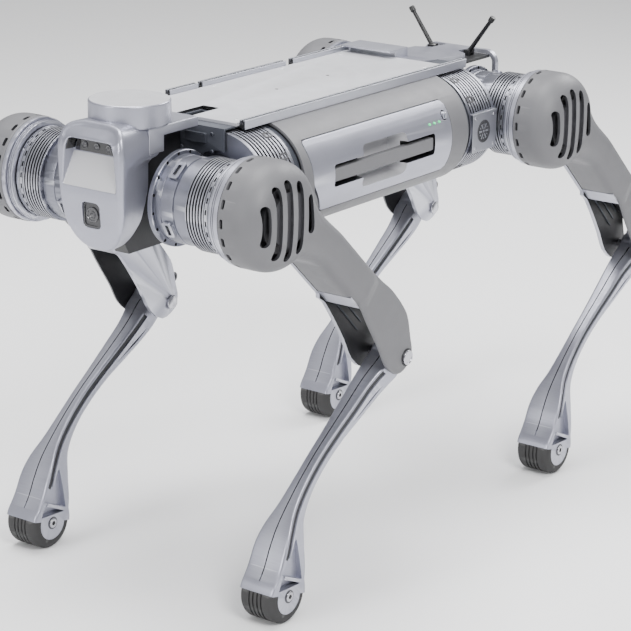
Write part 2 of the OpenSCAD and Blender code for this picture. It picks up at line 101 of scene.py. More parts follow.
def surface(name, colour, metallic, rough, grain, bump, shade=0.9, spread=0.05, wear=None,
            turned=None, specular=0.5, coat=0.0):
    """A material with fine grain, slow changes of tone and gloss, worn edges and, for turned parts,
    tool marks around the axis named by turned."""
    made = bpy.data.materials.new(name)
    made.use_nodes = True
    tree = made.node_tree
    shader = tree.nodes["Principled BSDF"]
    shader.inputs["Metallic"].default_value = metallic
    shader.inputs["Specular IOR Level"].default_value = specular
    shader.inputs["Coat Weight"].default_value = coat
    place = tree.nodes.new("ShaderNodeTexCoord").outputs["Object"]
    slow = node(tree, "TexNoise", Scale=14.0, Detail=3.0, Roughness=0.55)
    fine = node(tree, "TexNoise", Scale=grain, Detail=2.0, Roughness=0.6)
    smudge = node(tree, "TexNoise", Scale=55.0, Detail=5.0, Roughness=0.65)
    for texture in (slow, fine, smudge):
        tree.links.new(place, texture.inputs["Vector"])
    tone = mix_colour(tree, ramp(tree, slow.outputs["Fac"], 0.3, 0.7, 0, 1),
                      [c * shade for c in colour], colour)
    tone = mix_colour(tree, ramp(tree, fine.outputs["Fac"], 0.35, 0.65, 0, 0.5),
                      tone, [c * 0.86 for c in colour])
    if wear:
        edge = tree.nodes.new("ShaderNodeNewGeometry").outputs["Pointiness"]
        tone = mix_colour(tree, ramp(tree, edge, 0.52, 0.62, 0, 0.55), tone, wear)
    tree.links.new(tone, shader.inputs["Base Color"])
    tree.links.new(ramp(tree, smudge.outputs["Fac"], 0.3, 0.7, rough - spread, rough + spread),
                   shader.inputs["Roughness"])
    height = fine.outputs["Fac"]
    if turned:
        split = tree.nodes.new("ShaderNodeSeparateXYZ")
        tree.links.new(place, split.inputs[0])
        marks = node(tree, "TexNoise", noise_dimensions="1D", Scale=2600.0, Detail=1.0)
        tree.links.new(split.outputs[turned], marks.inputs["W"])
        height = marks.outputs["Fac"]
    relief = tree.nodes.new("ShaderNodeBump")
    relief.inputs["Strength"].default_value = bump
    relief.inputs["Distance"].default_value = 0.0003
    tree.links.new(height, relief.inputs["Height"])
    tree.links.new(relief.outputs["Normal"], shader.inputs["Normal"])
    return made


SILVER = (0.36, 0.365, 0.43)
SHINE = (0.72, 0.73, 0.78)
LOOKS = {
    "silver": surface("silver", SILVER, 0.72, 0.34, 900, 0.10, wear=SHINE),
    "plate": surface("plate", (0.56, 0.56, 0.58), 0.35, 0.42, 1100, 0.12, shade=0.96, wear=SHINE),
    "motor_y": surface("motor_y", (0.19, 0.195, 0.235), 0.9, 0.36, 900, 0.16, wear=SHINE, turned="Y"),
    "motor_x": surface("motor_x", (0.16, 0.165, 0.20), 0.9, 0.36, 900, 0.16, wear=SHINE, turned="X"),
    "rail": surface("rail", (0.38, 0.39, 0.45), 0.8, 0.32, 1000, 0.10, wear=SHINE),
    "grey": surface("grey", (0.125, 0.125, 0.133), 0.0, 0.50, 1500, 0.22, shade=0.94,
                    wear=(0.18, 0.18, 0.19), specular=0.45),
    "slate": surface("slate", (0.036, 0.040, 0.052), 0.3, 0.42, 1200, 0.15, wear=(0.17, 0.18, 0.21)),
    "dark": surface("dark", (0.028, 0.028, 0.032), 0.2, 0.50, 1200, 0.15, wear=(0.10, 0.10, 0.11)),
    "black": surface("black", (0.005, 0.005, 0.006), 0.0, 0.45, 1300, 0.18, wear=(0.05, 0.05, 0.055)),
    "black_metal": surface("black_metal", (0.012, 0.012, 0.015), 0.6, 0.38, 1100, 0.12,
                           wear=(0.12, 0.12, 0.13)),
    "steel": surface("steel", (0.50, 0.50, 0.54), 1.0, 0.26, 1000, 0.10, wear=(0.75, 0.75, 0.78), turned="Y"),
    "rubber": surface("rubber", (0.035, 0.0345, 0.035), 0.0, 0.68, 1700, 0.45, shade=0.85,
                      wear=(0.10, 0.10, 0.10), specular=0.3),
    "antenna": surface("antenna", (0.004, 0.004, 0.005), 0.0, 0.38, 1500, 0.15, wear=(0.04, 0.04, 0.04)),
    "glass": surface("glass", (0.004, 0.004, 0.006), 0.0, 0.12, 700, 0.02, coat=0.6, spread=0.03),
    "window": surface("window", (0.03, 0.03, 0.034), 0.0, 0.20, 700, 0.02, coat=0.3, spread=0.03),
    "lamp": surface("lamp", (0.05, 0.05, 0.055), 0.0, 0.25, 900, 0.05, coat=0.5),
    "led": surface("led", (0.05, 0.75, 0.28), 0.0, 0.25, 900, 0.05),
}
LOOKS["led"].node_tree.nodes["Principled BSDF"].inputs["Emission Color"].default_value = (0.02, 0.9, 0.25, 1)
LOOKS["led"].node_tree.nodes["Principled BSDF"].inputs["Emission Strength"].default_value = 0.8


# ---------- mesh helpers ----------

def solid(name, verts, faces):
    """A mesh object from points in millimetres."""
    mesh = bpy.data.meshes.new(name)
    mesh.from_pydata([Vector(v) * MM for v in verts], [], faces)
    obj = bpy.data.objects.new(name, mesh)
    bpy.context.scene.collection.objects.link(obj)
    work = bmesh.new()
    work.from_mesh(mesh)
    bmesh.ops.remove_doubles(work, verts=work.verts, dist=1e-7)
    bmesh.ops.recalc_face_normals(work, faces=work.faces)
    work.to_mesh(mesh)
    work.free()
    return obj


def rings(name, rows, closed=False):
    """A skin over rows of equally many points; the ends are capped, or joined when closed."""
    n = len(rows[0])
    verts = [p for row in rows for p in row]
    faces = []
    for i in range(len(rows) - (0 if closed else 1)):
        a, b = i * n, (i + 1) % len(rows) * n
        faces += [(a + k, a + (k + 1) % n, b + (k + 1) % n, b + k) for k in range(n)]
    if not closed:
        faces += [tuple(range(n))[::-1], tuple(range(len(verts) - n, len(verts)))]
    return solid(name, verts, faces)


def turn(name, profile, axis, centre=(0, 0, 0), steps=96):
    """A turned part: profile lists (place along the axis, radius). A radius of 0 closes an end."""
    rows = []
    for k in range(steps):
        c, s = math.cos(2 * math.pi * k / steps), math.sin(2 * math.pi * k / steps)
        spin = {"x": lambda a, r: (a, r * c, r * s), "y": lambda a, r: (r * s, a, r * c),
                "z": lambda a, r: (r * c, r * s, a)}[axis]
        rows.append([Vector(spin(a, r)) + Vector(centre) for a, r in profile])
    n = len(profile)
    verts = [p for row in rows for p in row]
    loop = profile[0][1] > 0 and profile[-1][1] > 0
    faces = []
    for i in range(steps):
        a, b = i * n, (i + 1) % steps * n
        faces += [(a + k, b + k, b + (k + 1) % n, a + (k + 1) % n) for k in range(n if loop else n - 1)]
    obj = solid(name, verts, faces)
    work = bmesh.new()
    work.from_mesh(obj.data)
    bmesh.ops.dissolve_degenerate(work, dist=1e-7, edges=work.edges)
    work.to_mesh(obj.data)
    work.free()
    return obj


def rounded(points, radius, steps=5):
    """The closed outline through points with its corners rounded; radius is a number or one for each."""
    out = []
    n = len(points)
    radii = radius if isinstance(radius, (list, tuple)) else [radius] * n
    for i, (p, r) in enumerate(zip(points, radii)):
        p = Vector(p)
        a, b = (Vector(points[i - 1]) - p), (Vector(points[(i + 1) % n]) - p)
        bend = math.pi - a.angle(b)
        if r <= 0 or bend < 0.02:
            out.append(p)
            continue
        reach = min(r * math.tan(bend / 2), 0.49 * a.length, 0.49 * b.length)
        start, end = p + a.normalized() * reach, p + b.normalized() * reach
        for k in range(steps + 1):
            t = k / steps
            out.append(start * (1 - t) ** 2 + p * 2 * t * (1 - t) + end * t * t)
    return out


def prism(name, outline, axis, d0, d1):
    """An outline pushed from d0 to d1 along an axis; its points hold the other two coordinates."""
    lift = {"x": lambda p, d: (d, p[0], p[1]), "y": lambda p, d: (p[0], d, p[1]),
            "z": lambda p, d: (p[0], p[1], d)}[axis]
    return rings(name, [[lift(p, d) for p in outline] for d in (d0, d1)])


def disc(name, r, y0, y1, x, z, edge=1.0, steps=72):
    """A disc across the leg with its rims rounded off."""
    return turn(name, [(y0, 0), (y0, r - edge), (y0 + 0.3 * edge, r - 0.3 * edge), (y0 + edge, r),
                       (y1 - edge, r), (y1 - 0.3 * edge, r - 0.3 * edge), (y1, r - edge), (y1, 0)],
                "y", (x, 0, z), steps)


def block(name, x, y, z):
    return prism(name, [(x[0], y[0]), (x[1], y[0]), (x[1], y[1]), (x[0], y[1])], "z", *z)


def apply_modifiers(obj):
    bpy.context.view_layer.update()
    graph = bpy.context.evaluated_depsgraph_get()
    mesh = bpy.data.meshes.new_from_object(obj.evaluated_get(graph))
    obj.modifiers.clear()
    obj.data = mesh
    return obj


def combine(obj, others, operation="DIFFERENCE"):
    for other in others:
        step = obj.modifiers.new("combine", "BOOLEAN")
        step.operation = operation
        step.solver = "MANIFOLD"
        step.object = other
        apply_modifiers(obj)
        bpy.data.objects.remove(other)
    return obj


def shade(obj, angle=32):
    obj.data.shade_smooth()
    obj.data.set_sharp_from_angle(angle=math.radians(angle))
    return obj


def bevel(obj, width=0.6, angle=32, segments=2):
    """Rounds the sharp edges and gives flat faces flat shading."""
    step = obj.modifiers.new("bevel", "BEVEL")
    step.width = width * MM
    step.segments = segments
    step.limit_method = "ANGLE"
    step.angle_limit = math.radians(angle)
    step.harden_normals = False
    apply_modifiers(obj)
    shade(obj, 40)
    weight = obj.modifiers.new("weight", "WEIGHTED_NORMAL")
    weight.keep_sharp = True
    return apply_modifiers(obj)


def soften(obj, voxel=1.0, passes=2, keep=0.5):
    """Recasts a solid as one smooth skin with small fillets, as a casting or a moulding has."""
    step = obj.modifiers.new("remesh", "REMESH")
    step.mode = "VOXEL"
    step.voxel_size = voxel * MM
    apply_modifiers(obj)
    step = obj.modifiers.new("smooth", "SMOOTH")
    step.factor = 0.6
    step.iterations = passes
    apply_modifiers(obj)
    if keep < 1:
        step = obj.modifiers.new("decimate", "DECIMATE")
        step.ratio = keep
        apply_modifiers(obj)
    obj.data.shade_smooth()
    return obj


def cad_copy(name, cad):
    """A copy of a CAD node's mesh with its flat faces rejoined, ready to be bevelled or recast."""
    mesh = frame["nodes"][cad].data.copy()
    mesh.name = name
    mesh.materials.clear()
    obj = bpy.data.objects.new(name, mesh)
    bpy.context.scene.collection.objects.link(obj)
    work = bmesh.new()
    work.from_mesh(mesh)
    bmesh.ops.remove_doubles(work, verts=work.verts, dist=2e-6)
    bmesh.ops.dissolve_degenerate(work, dist=1e-6, edges=work.edges)
    bmesh.ops.dissolve_limit(work, angle_limit=math.radians(0.5), verts=work.verts, edges=work.edges)
    work.to_mesh(mesh)
    work.free()
    return obj


def paint(obj, choose):
    """Numbers each face's material: choose gets the face's middle, in millimetres, and its normal."""
    for face in obj.data.polygons:
        face.material_index = int(choose(face.center / MM, face.normal))
    return obj


def dress(obj, look, body, cad=None):
    """Gives a finished piece its materials and body, and hides the CAD nodes that it stands for."""
    marks = [face.material_index for face in obj.data.polygons]
    obj.data.materials.clear()
    for name in look.split("+"):
        obj.data.materials.append(LOOKS[name])
    obj.data.polygons.foreach_set("material_index", marks if "+" in look else [0] * len(marks))
    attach(obj, body)
    nodes = [cad] if isinstance(cad, str) else list(cad or [])
    if nodes:
        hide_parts(*nodes)
    return obj


def on_body(obj):
    obj.data.transform(Matrix.Translation(MIDDLE))
    return obj


def on_legs(obj, look, part, cad=None, flip_rear=False):
    """Copies a piece made for the left front leg to every leg, and removes the original."""
    for leg in LEGS:
        side = 1 if leg[1] == "l" else -1
        ahead = 1 if leg[0] == "f" else -1
        flip = Matrix.Diagonal((ahead if flip_rear else 1, side, 1, 1))
        place = Matrix.Translation(MIDDLE + Vector((ahead * HIP_X * MM, 0, 0)))
        mesh = obj.data.copy()
        mesh.transform(place @ flip)
        if flip.determinant() < 0:
            mesh.flip_normals()
        made = bpy.data.objects.new(f"{leg}_{obj.name}", mesh)
        bpy.context.scene.collection.objects.link(made)
        nodes = [f"{leg}_{n}" for n in ([cad] if isinstance(cad, str) else cad or [])]
        dress(made, look, f"{leg}_{part}", nodes)
    bpy.data.objects.remove(obj)


def hip_frame(obj):
    """Moves a copy of a left front CAD node into the leg's own place, counted from the hip."""
    obj.data.transform(Matrix.Translation(-MIDDLE - Vector((HIP_X * MM, 0, 0))))
    return obj


def along_thigh(s, f):
    """The x and z of a point s down the thigh and f in front of the line from hip to knee."""
    down = Vector((-math.sin(THIGH_LEAN), -math.cos(THIGH_LEAN)))
    front = Vector((math.cos(THIGH_LEAN), -math.sin(THIGH_LEAN)))
    return down * s + front * f


# ---------- hips ----------

def hip_bracket():
    cup = turn("hip_cup", [(59, 0), (59, 59.2), (59.8, 60), (65.2, 60), (66, 59.2), (66, 54.9), (66.4, 54.4),
                           (74, 54.4), (74.6, 53.6), (76, 53.6), (76.6, 54.4), (93.6, 54.4), (94.2, 53),
                           (95.2, 53), (95.8, 54), (112.6, 54), (113.2, 53), (114.8, 53), (114.8, 40.4), (72, 40.4),
                           (71, 0)], "y", steps=128)
    stub = turn("stub", [(-65.5, 20.2), (-65.5, 41), (-64.5, 42), (-38, 42), (-38, 20.2)], "x",
                (0, ABD_Y, 0), 72)
    combine(cup, [stub], "UNION")
    spots = [(57.2 * math.sin(a), 57.2 * math.cos(a))
             for a in (math.radians(22.5 * k + 8) for k in range(16))]
    holes = [disc("hole", 2.2, 57, 70, x, z, 0.1, 12) for x, z in spots]
    lugs = []
    for angle, y, wide in ((38, 86, 26), (215, 86, 20), (118, 84, 22), (300, 84, 18)):
        lug = [(-wide / 2, -7), (wide / 2, -7), (wide / 2, 7), (-wide / 2, 7)]
        lug = prism("lug", rounded(lug, 4), "z", 50, 57.4)
        slot = prism("slot", rounded([(-8, -2.6), (8, -2.6), (8, 2.6), (-8, 2.6)], 2.6), "z", 54.6, 62)
        for shape, pile in ((lug, lugs), (slot, holes)):
            shape.data.transform(Matrix.Rotation(math.radians(angle), 4, "Y")
                                 @ Matrix.Translation((0, y * MM, 0)))
            pile.append(shape)
    combine(cup, lugs, "UNION")
    combine(cup, [join(holes, "holes")])
    bevel(cup, 0.35, 40)

    # The bolt holes are coloured black as painted shade; a thin band round the cup at radius 54.6 mm is black too.
    def dark(at, normal):
        r = math.hypot(at.x, at.z)
        return (at.y < 65.9 and min(math.dist((at.x, at.z), spot) for spot in spots) < 2.4) or \
            (76.5 < at.y < 95 and abs(r - 54.6) < 0.1 and r > 54.45)
    on_legs(paint(cup, dark), "motor_y+black", "hip", "hip_bracket", flip_rear=True)


def hip_motor():
    fins = 6
    pitch = 4.4
    profile = [(103, 0), (103, 39.8), (115, 39.8), (115, 57.2), (115.8, 58)]
    for k in range(fins):
        y = 117 + pitch * k
        profile += [(y, 58), (y, 52.5), (y + 2.3, 52.5), (y + 2.3, 58)]
    profile += [(143.2, 58), (143.2, 56.8), (144.2, 56.8), (144.2, 58), (149, 58), (149, 56.8), (149.7, 56.8),
                (149.7, 58), (154, 58), (155, 57), (155, 21.9), (164.4, 21.9), (164.4, 0)]
    motor = turn("hip_motor", profile, "y", steps=144)
    marks = []
    for k in range(26):
        dash = block("dash", (-3.2, 3.2), (145.3, 147.7), (56.4, 60))
        dash.data.transform(Matrix.Rotation(math.radians(360 / 26 * k), 4, "Y"))
        marks.append(dash)
    for k in range(3):
        for step in (-1, 0, 1):
            for x, y in ((1.0, 2.4), (2.6, 0.8)):
                tick = block("tick", (-x, x), (151.8 - y / 2, 151.8 + y / 2), (56.6, 60))
                tick.data.transform(Matrix.Rotation(math.radians(40 + 120 * k + 9 * step), 4, "Y"))
                combine(motor, [tick])
    combine(motor, [join(marks, "marks")])
    bevel(motor, 0.2, 40, 1)

    # Painted shade: the grooves between the motor's fins are coloured black.
    def dark(at, normal):
        return 116.9 < at.y < 153.6 and 45 < math.hypot(at.x, at.z) < 57.6
    on_legs(paint(motor, dark), "motor_y+black", "hip", "hip_motor")


def join(parts, name):
    """One object from several that don't touch."""
    work = bmesh.new()
    for part in parts:
        work.from_mesh(part.data)
        bpy.data.objects.remove(part)
    mesh = bpy.data.meshes.new(name)
    work.to_mesh(mesh)
    work.free()
    obj = bpy.data.objects.new(name, mesh)
    bpy.context.scene.collection.objects.link(obj)
    return obj


# ---------- thighs ----------

DOME_R = 68
WALL, OUT, CHEEK_IN, CHEEK = 171, 232, 222, 226.5
ARM_BACK, ARM_FRONT = -48, 4
KNEE_SIDE = ((200, -3), (222, 5), (247, 12), (285, 21), (318, 31), (349, 27), (362, 4), (357, -13),
             (340, -25), (316, -41), (295, -46.5), (262, -49), (234, -46.5), (200, -40))


def ease(t):
    t = min(max(t, 0), 1)
    return t * t * (3 - 2 * t)


def dome(name, t, low):
    """The round housing, set in by t, with its wide rounded edge."""
    edge = 34 - t
    arc = [(OUT - t - edge * (1 - math.sin(a)), DOME_R - t - edge * (1 - math.cos(a)))
           for a in (math.pi / 2 * k / 10 for k in range(11))]
    return turn(name, [(low, 0), (low, DOME_R - t)] + arc + [(OUT - t, 0)], "y", steps=128)


def arm(name, t, s0, s1):
    """The arm from dome to knee: it flares into the dome and thins towards the knee's cheek."""
    rows = []
    for s in [s0 + (s1 - s0) * k / 24 for k in range(25)]:
        front = ARM_FRONT - t + 46 * max(0, (112 - s) / 82) ** 1.6
        back = ARM_BACK + t - 9 * max(0, (100 - s) / 70) ** 2
        thin = ease((s - 204) / 20)
        top = OUT - t - (OUT - CHEEK) * thin
        r = 18 + 16 * (1 - ease((s - 48) / 70)) - t - 8 * thin
        turned = [(a, math.cos(a), math.sin(a)) for a in (math.pi / 2 * k / 6 for k in range(7))]
        section = [(WALL - (2 if t else 0), back)]
        section += [(top - r * (1 - sn), back + r * (1 - c)) for a, c, sn in turned]
        section += [(top - r * (1 - sn), front - r * (1 - c)) for a, c, sn in reversed(turned)]
        section += [(WALL - (2 if t else 0), front)]
        rows.append([(along_thigh(s, f)[0], y, along_thigh(s, f)[1]) for y, f in section])
    return rings(name, rows)


def thigh_prism(name, points, y0, y1):
    return prism(name, [along_thigh(s, f) for s, f in points], "y", y0, y1)


def vent(x, length, wide=12, bend=230):
    """A curved slot with round ends, cut through the dome's face."""
    sweep = (length - wide) / 2 / bend
    line = [sweep * (k / 8 - 1) for k in range(17)]
    outer = [(x + bend - (bend + wide / 2) * math.cos(a), (bend + wide / 2) * math.sin(a)) for a in line]
    inner = [(x + bend - (bend - wide / 2) * math.cos(a), (bend - wide / 2) * math.sin(a)) for a in line]
    ends = []
    for a, way in ((sweep, 1), (-sweep, -1)):
        centre = Vector((x + bend - bend * math.cos(a), bend * math.sin(a)))
        ends.append([centre + Vector((-math.cos(b), way * math.sin(b))) * wide / 2
                     for b in (math.pi * k / 8 for k in range(1, 8))])
    outline = outer + ends[0] + inner[::-1] + ends[1][::-1]
    return prism("vent", outline, "y", OUT - 34, OUT + 2)


def thigh():
    knee = (KNEE.x / MM, KNEE.z / MM)
    cover = dome("thigh_cover", 0, WALL)
    plate = thigh_prism("plate", spline(KNEE_SIDE, 4), WALL, CHEEK)
    combine(cover, [arm("arm", 0, 30, 240), plate], "UNION")
    soften(cover, 1.2, 12, 0.35)
    inner = spline([(s + (4 if s < 300 else -4), f - 4 if f > -10 else f + 4) for s, f in KNEE_SIDE], 4)
    cuts = [dome("hollow", 4, WALL - 6), arm("arm_hollow", 4, 20, 204),
            thigh_prism("knee_hollow", inner, 160, CHEEK_IN),
            thigh_prism("front", [(186, -6), (380, -6), (380, 60), (186, 60)], 160, CHEEK_IN),
            disc("back", 49, 160, CHEEK_IN, *knee, 0.1),
            disc("bore", 6.1, 200, 240, *knee, 0.1, 40),
            block("trim", (-400, 200), (150, WALL + 0.2), (-400, 200))]
    cuts += [vent(21 * (2 - k) + 4, length) for k, length in enumerate((50, 90, 100, 90, 48))]
    for k in range(18):
        slot = rounded([(-6, WALL + 4), (6, WALL + 4), (6, WALL + 9), (-6, WALL + 9)], 2.4)
        slot = prism("slot", slot, "z", 58, 76)
        slot.data.transform(Matrix.Rotation(math.radians(20 * k + 50), 4, "Y"))
        cuts.append(slot)
    combine(cover, cuts)
    shade(cover, 38)

    # Painted shade: the vents' walls and the cover's inner faces are coloured dark.
    def cover_painted_shade(at, normal):
        in_slot = at.y > OUT - 8 and abs(normal.y) < 0.5 and math.hypot(at.x, at.z) < 56
        return in_slot or (at.y > WALL + 8 and normal.y < -0.4)
    on_legs(paint(cover, cover_painted_shade), "grey+dark", "thigh", "thigh_cover")

    shell = bevel(hip_frame(cad_copy("thigh_shell", "fl_thigh_shell")), 0.5)

    edge = max(math.hypot(v.co.x, v.co.z) / MM for v in shell.data.vertices
               if 157 < v.co.y / MM < 164.6 and math.hypot(v.co.x, v.co.z) < 0.1)

    # Painted shade: the shell's wall at the bottom of the knee channel and a band just inside the dome's rim are
    # coloured black.
    def dark(at, normal):
        return (normal.y > 0.9 and WALL - 1 < at.y < WALL + 1) or \
            (157 < at.y < 164.6 and edge - 3 < math.hypot(at.x, at.z) < edge - 0.6)
    on_legs(paint(shell, dark), "silver+black", "thigh", "thigh_shell")
    ribs = [thigh_prism("rib", rounded([(218, f - 1.2), (302, f + 2), (302, f + 4.4), (218, f + 1.2)], 1),
                        WALL, WALL + 1.8) for f in (-30, -18, -6)]
    on_legs(bevel(join(ribs, "channel_ribs"), 0.3), "slate", "thigh")
    # A black ring round the knee pin on the cover's cheek.
    ring = [(-1, 10.2), (0.4, 10.2), (0.8, 10.6), (0.8, 11.4), (0.3, 11.9), (-1, 11.9)]
    ring = turn("knee_dark_ring", [(CHEEK + a, r) for a, r in ring], "y", (knee[0], 0, knee[1]), 64)
    on_legs(shade(ring), "black", "thigh")
    # Painted shadow: a black ring just inside the dome's rim, behind the rim's slots.
    rim_shadow = [(WALL + a, r) for a, r in ((0.3, 61), (0.3, 63.2), (12, 63.2), (12, 61))]
    rim_shadow = turn("rim_painted_shadow", rim_shadow, "y", steps=96)
    on_legs(shade(rim_shadow), "black", "thigh")


# ---------- shanks ----------

SHANK_LEAN = math.radians(44.41)
SIDE = ((-6, 0, 15), (24, 3, 18), (58, 9, 17.5), (98, 18.5, 15), (140, 29, 12.5), (180, 36.5, 12),
        (220, 40, 12.5), (256, 37.5, 16), (286, 28, 24), (312, 15, 31), (334, 4, 34.5), (350, 0, 35.4))
WIDTH = ((-30, 4, 18.5), (22, 4, 18.5), (40, 1.5, 16.5), (62, 0, 14.5), (96, 0, 13), (140, 0, 10.8),
         (180, 0, 10), (220, 0, 11), (256, 0, 14.5), (286, 0, 21.5), (312, 0, 25.6), (400, 0, 26.2))


def between(rows, s):
    """Smoothly interpolated values of the rows [distance, a, b] at the distance s."""
    n = len(rows)
    i = max(k for k in range(n - 1) if rows[k][0] <= s or k == 0)
    t = min(max((s - rows[i][0]) / (rows[i + 1][0] - rows[i][0]), 0), 1)
    out = []
    for c in (1, 2):
        a, b = rows[i][c], rows[i + 1][c]
        slope = [0, 0]
        for side, k in enumerate((i, i + 1)):
            if 0 < k < n - 1:
                slope[side] = (rows[k + 1][c] - rows[k - 1][c]) / (rows[k + 1][0] - rows[k - 1][0])
            else:
                slope[side] = (b - a) / (rows[i + 1][0] - rows[i][0])
        h = rows[i + 1][0] - rows[i][0]
        out.append(a * (1 + 2 * t) * (1 - t) ** 2 + slope[0] * h * t * (1 - t) ** 2
                   + b * t * t * (3 - 2 * t) + slope[1] * h * t * t * (t - 1))
    return out


def shank_point(s, y, n):
    """A leg point from its distance down the shank, its side position and its height in front."""
    down = Vector((math.sin(SHANK_LEAN), -math.cos(SHANK_LEAN)))
    front = Vector((math.cos(SHANK_LEAN), math.sin(SHANK_LEAN)))
    at = Vector((KNEE.x, KNEE.z)) / MM + down * s + front * n
    return (at[0], y, at[1])


def shank_section(s):
    """Section with a flat front, softly rounded edges and a round back."""
    mid_n, half_n = between(SIDE, s)
    mid_y, half_y = between(WIDTH, s)
    edge = min(2.5, 0.2 * half_y)
    back = min(8.0, 0.6 * half_y, 0.5 * half_n)
    arc = [math.pi / 2 * k / 5 for k in range(6)]
    side = [(half_y - edge * (1 - math.sin(a)), half_n - edge * (1 - math.cos(a))) for a in arc]
    side += [(half_y - back * (1 - math.cos(a)), -half_n + back * (1 - math.sin(a))) for a in arc]
    points = side + [(-y, n) for y, n in reversed(side)]
    return [shank_point(s, LEG_Y + mid_y + y, mid_n + n) for y, n in points]


def shank_groove(name, s0, s1, corners):
    """A groove that follows the shank; corners gives its section from the half width and half thickness."""
    rows = []
    for s in [s0 + (s1 - s0) * k / 40 for k in range(41)]:
        mid_n, half_n = between(SIDE, s)
        mid_y, half_y = between(WIDTH, s)
        rows.append([shank_point(s, LEG_Y + mid_y + y, mid_n + n) for y, n in corners(half_y, half_n)])
    return rings(name, rows)


def shank():
    foot = shank_point(THIGH, 0, 0)
    knee = (KNEE.x / MM, KNEE.z / MM)
    half = (FOOT_BOX[1].y - FOOT_BOX[0].y) / MM / 2
    body = rings("shank", [shank_section(-6 + 4 * k) for k in range(90)])
    parts = [disc("knee", 19, LEG_Y + 4 - 18.5, LEG_Y + 4 + 18.5, *knee, 2),
             disc("foot", 35.4, LEG_Y - half, LEG_Y + half, foot[0], foot[2], 2)]
    lever = Vector((math.cos(math.radians(118)), math.sin(math.radians(118)))) * 35
    side = lever.orthogonal().normalized() * 7.5
    at = Vector(knee)
    parts += [prism("arm", [at - side, at + side, at + lever + side, at + lever - side], "y", 181, 188),
              disc("end", 7.5, 181, 188, *(at + lever), 0.5, 32)]
    combine(body, parts, "UNION")
    soften(body, 1.0, 8, 0.35)
    sole = sole_cutter(foot, half + 8)
    hub = [(-half - 12, 0), (-half - 12, 23), (-half + 2.3, 23), (-half + 2.3, 26.8)]
    hub = [(LEG_Y + y, r) for y, r in hub + [(-y, r) for y, r in reversed(hub)]]
    combine(sole, [turn("inner", hub, "y", (foot[0], 0, foot[2]), 72)])
    cuts = [sole, disc("bore", 4.1, LEG_Y - 60, LEG_Y + 60, foot[0], foot[2], 0.1, 24),
            disc("eye", 6.1, LEG_Y - 60, LEG_Y + 60, *knee, 0.1, 32),
            shank_groove("seam", 14, 352, lambda y, n: [
                (-0.8, n - 2.4), (0.8, n - 2.4), (0.8, n + 6), (-0.8, n + 6)])]
    for way in (-1, 1):
        cuts.append(shank_groove("channel", 34, 340, lambda y, n: [
            (way * (y - 3.2), n - 3.6), (way * (y + 4), n - 2.6),
            (way * (y + 4), n - 13), (way * (y - 1.8), n - 11.6)]))
        y = LEG_Y + way * (half + 4)
        for outline, deep in ((((284, 36), (336.5, 32), (321.5, -9)), 12),
                              (((340, 30), (325.5, -11), (356, 24)), 13)):
            points = rounded(outline, (3, 1.2, 1.2))
            cuts.append(rings("pocket", [[shank_point(s, y + d, n) for s, n in points]
                                         for d in (-deep * way, 10 * way)]))
        slit = rounded([(40, -7), (70, -1), (124, 16), (76, 4)], 1.2)
        cuts.append(rings("slit", [[shank_point(s, LEG_Y + 3 + d * way, n + 6) for s, n in slit]
                                   for d in (9, 26)]))
    combine(body, cuts)
    shade(body, 38)

    # Painted shade: the side channels and the seam down the front are coloured dark.
    def dark(at, normal):
        down = Vector((math.sin(SHANK_LEAN), -math.cos(SHANK_LEAN)))
        front = Vector((math.cos(SHANK_LEAN), math.sin(SHANK_LEAN)))
        spot = Vector((at.x, at.z)) - Vector(knee)
        s, n = spot.dot(down), spot.dot(front)
        mid_n, half_n = between(SIDE, s) if s < 340 else (4, 35)
        mid_y, half_y = between(WIDTH, s)
        side = abs(at.y - LEG_Y - mid_y)
        if 34 < s < 318 and half_y - 4.5 < side < half_y - 0.9 and half_n - 12 < n - mid_n < half_n - 3.2:
            return True
        return 14 < s < 345 and side < 0.85 and n > mid_n + half_n - 3.5
    on_legs(paint(body, dark), "silver+dark", "shank", "shank")


def sole_cutter(foot, half, lift=0):
    """The wedge under the foot that the rubber fills; it rises towards the front."""
    tilt = math.radians(14)
    right, up = Vector((math.cos(tilt), math.sin(tilt))), Vector((-math.sin(tilt), math.cos(tilt)))
    corners = [right * x + up * z for x, z in ((-60, -58), (60, -58), (60, 2 + lift), (-60, 2 + lift))]
    return prism("sole_zone", [(foot[0] + c[0], foot[2] + c[1]) for c in corners], "y",
                 LEG_Y - half, LEG_Y + half)


def foot_sole():
    foot = shank_point(THIGH, 0, 0)
    r, edge = 35.9, 9
    half = (FOOT_BOX[1].y - FOOT_BOX[0].y) / MM / 2
    outer = [(-half + 2.2, 27), (-half + 2.2, 23.2), (-half, 23.2), (-half, r - edge)]
    outer += [(-half + edge * (1 - math.cos(a)), r - edge * (1 - math.sin(a)))
              for a in (0.2, 0.5, 0.8, 1.1, 1.4)]
    for y in (-9, -3.2, 3.2, 9):
        outer += [(y - 1.2, r), (y - 1.0, r - 1.8), (y + 1.0, r - 1.8), (y + 1.2, r)]
    outer += [(-y, z) for y, z in reversed(outer[:9])]
    tread = turn("foot_sole", [(LEG_Y + y, z) for y, z in outer], "y", (foot[0], 0, foot[2]), 128)
    combine(tread, [sole_cutter(foot, half + 2, -0.2)], "INTERSECT")
    bevel(tread, 0.5, 38)
    on_legs(tread, "rubber", "shank", "foot_sole")


